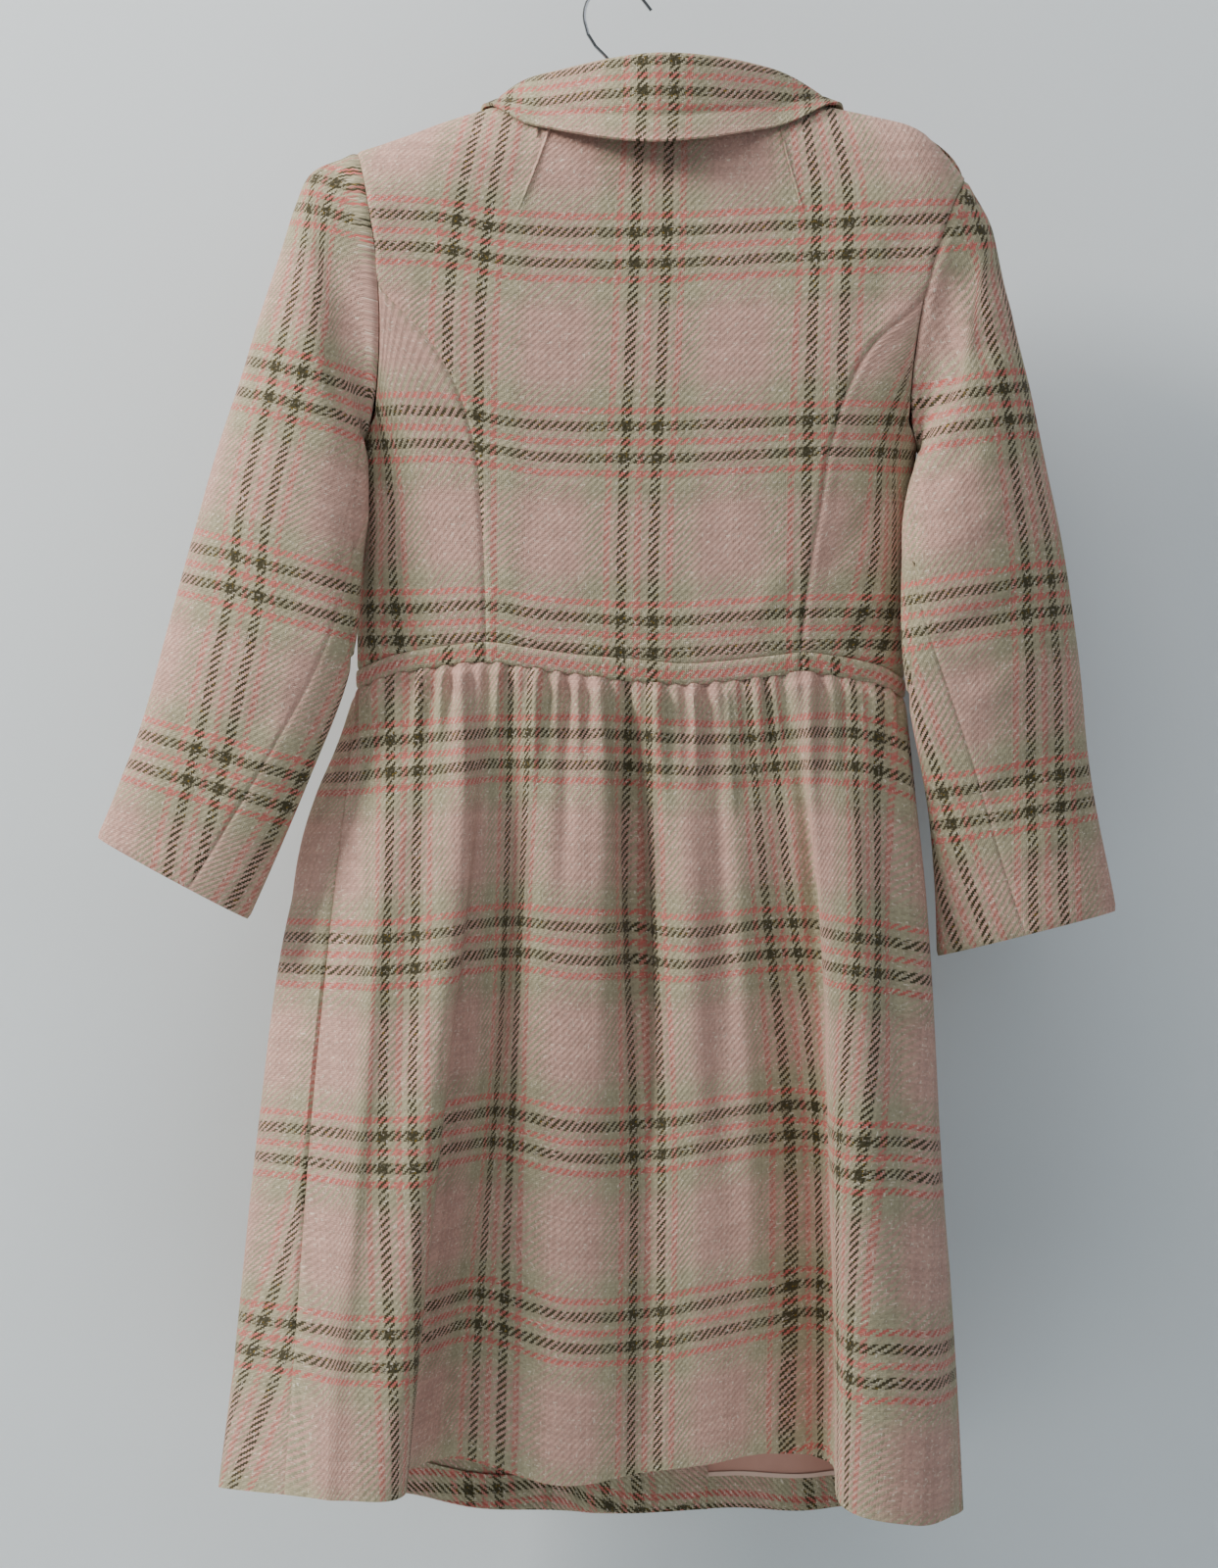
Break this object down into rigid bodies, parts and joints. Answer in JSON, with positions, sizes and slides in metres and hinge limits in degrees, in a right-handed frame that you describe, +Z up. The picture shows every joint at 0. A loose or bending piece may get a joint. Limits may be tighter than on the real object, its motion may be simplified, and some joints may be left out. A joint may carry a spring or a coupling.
{
  "type": "wool coat on a hanger",
  "caption": "Plaid wool tweed coat with a small turned-down collar, bracelet sleeves, a narrow waistband and a gathered skirt, hung on a plain hanger with a wire hook.",
  "frame": {"origin": "inside top of the hanger's hook, where it rests on a rail", "axes": "+Z up, the coat's back faces +Y and its front faces -Y, the wearer's left is +X"},
  "size_m": [0.6917, 0.1577, 1.0582],
  "materials": {
    "tweed": "woven wool twill, plaid, rough",
    "satin": "satin-weave lining, soft sheen",
    "button": "polished",
    "wood": "clear lacquer",
    "wire": "polished"
  },
  "bodies": {
    "root": {"back_centre": "tweed", "back_side_left": "tweed", "back_side_right": "tweed", "front_left": "tweed", "front_right": "tweed", "waistband_back": "tweed", "waistband_side_left": "tweed", "waistband_side_right": "tweed", "waistband_front_left": "tweed", "waistband_front_right": "tweed", "skirt_back": "tweed", "skirt_front_left": "tweed", "skirt_front_right": "tweed", "facing_left": "tweed", "lining_right": "satin", "sleeve_left_top": "tweed", "sleeve_left_under": "tweed", "sleeve_right_top": "tweed", "sleeve_right_under": "tweed", "collar": "tweed", "hanger_bar": "wood", "hanger_hook": "wire", "button_1": "button", "button_2": "button", "button_3": "button"}
  },
  "joints": []
}
